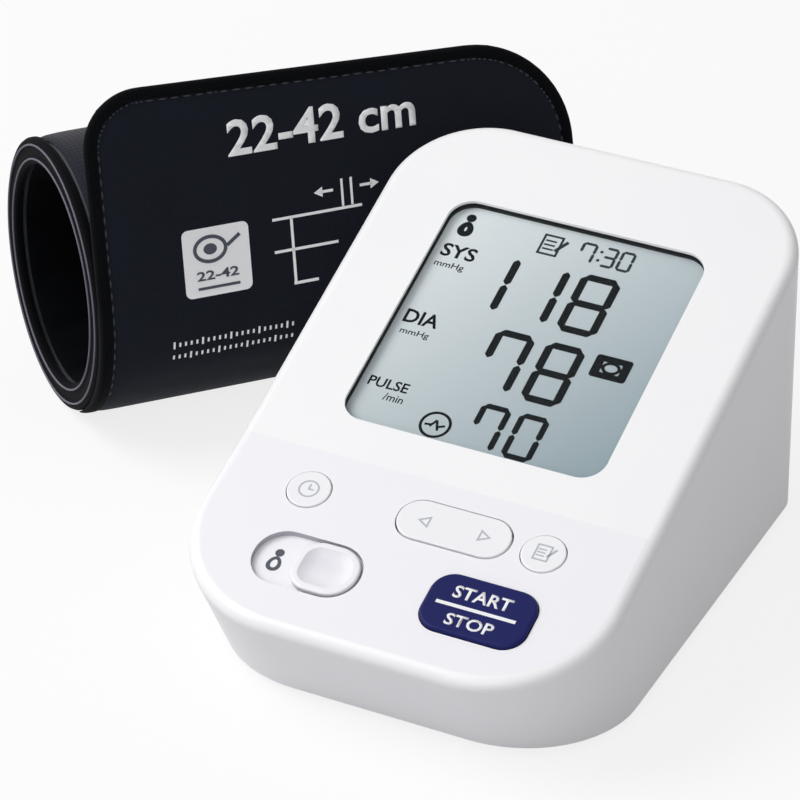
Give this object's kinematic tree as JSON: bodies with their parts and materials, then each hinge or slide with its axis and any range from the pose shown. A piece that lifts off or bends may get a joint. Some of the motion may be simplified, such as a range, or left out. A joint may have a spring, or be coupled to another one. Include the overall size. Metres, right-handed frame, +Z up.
{
  "type": "blood pressure monitor with arm cuff",
  "caption": "Wedge-shaped desk blood pressure monitor with a sloping display, push buttons, a tilting arrow key and a sliding switch, and a rolled arm cuff with a standing flap.",
  "frame": {"origin": "on the table under the middle of the desk unit's base", "axes": "+X to the unit's right, +Y to its back, +Z up; the sloping face looks to -Y and up"},
  "size_m": [0.2156, 0.2303, 0.0967],
  "materials": {
    "white_case": "satin moulded shell",
    "white_cover": "fine moulded texture",
    "clear_window": "clear polished",
    "black_gasket": "matt foam",
    "display_glass": "reflective display cell",
    "tray_plastic": "plain moulded",
    "strip_rubber": "layered conductive rubber",
    "circuit_board": "coated laminate",
    "screw_steel": "zinc plated",
    "black_plastic": "plain moulded",
    "grey_plastic": "plain moulded",
    "button_plastic": "satin moulded",
    "navy_button": "satin moulded",
    "knob_plastic": "satin moulded",
    "key_silicone": "soft silicone",
    "motor_steel": "drawn can",
    "cradle_rubber": "soft rubber",
    "hose_rubber": "soft silicone hose",
    "cell_jacket": "printed jacket",
    "contact_metal": "nickel plated spring",
    "cuff_outer_cloth": "brushed loop cloth",
    "cuff_inner_cloth": "smooth woven lining",
    "cuff_tape": "woven edge tape",
    "bladder_sheet": "welded sheet",
    "curler_sheet": "springy sheet",
    "hook_tape": "hook tape"
  },
  "bodies": {
    "monitor": {"upper_case": "white_case", "base_cover": "white_cover", "case_screws": "screw_steel", "battery_1": "cell_jacket", "battery_2": "cell_jacket", "battery_3": "cell_jacket", "battery_4": "cell_jacket", "contacts_left": "contact_metal", "contacts_right": "contact_metal", "display_window": "clear_window", "display_gasket": "black_gasket", "display_glass": "display_glass", "display_frame": "tray_plastic", "connector_strips": "strip_rubber", "main_board": "circuit_board", "board_screws": "screw_steel", "buzzer": "black_plastic", "pressure_sensor": "black_plastic", "rocker_pivot": "tray_plastic", "user_switch": "black_plastic", "key_mat": "key_silicone", "key_board": "circuit_board", "air_manifold": "grey_plastic", "pump_head": "black_plastic", "pump_motor": "motor_steel", "pump_cradle": "cradle_rubber", "exhaust_valve": "grey_plastic", "air_jack": "grey_plastic", "power_jack": "black_plastic", "pump_hose": "hose_rubber", "valve_hose": "hose_rubber", "jack_hose": "hose_rubber", "sensor_hose": "hose_rubber"},
    "battery_door": {"battery_door": "white_cover"},
    "clock_button": {"clock_button": "button_plastic"},
    "memory_button": {"memory_button": "button_plastic"},
    "start_stop_button": {"start_stop_button": "navy_button"},
    "arrow_rocker": {"arrow_rocker": "button_plastic"},
    "user_switch_knob": {"user_switch_knob": "knob_plastic"},
    "cuff": {"cuff_lining": "cuff_inner_cloth", "cuff_bladder": "bladder_sheet", "cuff_curler": "curler_sheet", "cuff_cloth": "cuff_outer_cloth", "cuff_binding_near": "cuff_tape", "cuff_binding_far": "cuff_tape", "cuff_flap_root": "cuff_outer_cloth", "cuff_nipple": "grey_plastic"},
    "cuff_flap": {"cuff_flap": "cuff_outer_cloth", "hook_patch": "hook_tape"}
  },
  "joints": [
    {"name": "clock_press", "type": "slide", "parent": "monitor", "child": "clock_button", "axis": [0, 0.3387, -0.9409], "range_m": [0, 0.0006], "stiffness_N_per_m": 1200, "deforming": ["key_mat"]},
    {"name": "memory_press", "type": "slide", "parent": "monitor", "child": "memory_button", "axis": [0, 0.3387, -0.9409], "range_m": [0, 0.0006], "stiffness_N_per_m": 1200, "deforming": ["key_mat"]},
    {"name": "start_stop_press", "type": "slide", "parent": "monitor", "child": "start_stop_button", "axis": [0, 0.3387, -0.9409], "range_m": [0, 0.0006], "stiffness_N_per_m": 1200, "deforming": ["key_mat"]},
    {"name": "rocker_tilt", "type": "hinge", "parent": "monitor", "child": "arrow_rocker", "pos_m": [0.0072, -0.03669, 0.03698], "axis": [0, 0.9409, 0.3387], "range_deg": [-2.5, 2.5], "stiffness_Nm_per_rad": 0.3, "deforming": ["key_mat"]},
    {"name": "user_switch_slide", "type": "slide", "parent": "monitor", "child": "user_switch_knob", "axis": [-1, 0, 0], "range_m": [0, 0.0098]},
    {"name": "battery_door_swing", "type": "hinge", "parent": "monitor", "child": "battery_door", "pos_m": [0, 0.02455, 0.0018], "axis": [1, 0, 0], "range_deg": [0, 70]},
    {"name": "cuff_lift", "type": "slide", "parent": "monitor", "child": "cuff", "axis": [0, 0, 1], "range_m": [0, 0.12]},
    {"name": "cuff_flap_bend", "type": "hinge", "parent": "cuff", "child": "cuff_flap", "pos_m": [-0.06853, 0.05742, 0.05488], "axis": [0.6587, 0.7524, 0], "range_deg": [-28, 32], "stiffness_Nm_per_rad": 0.1}
  ]
}
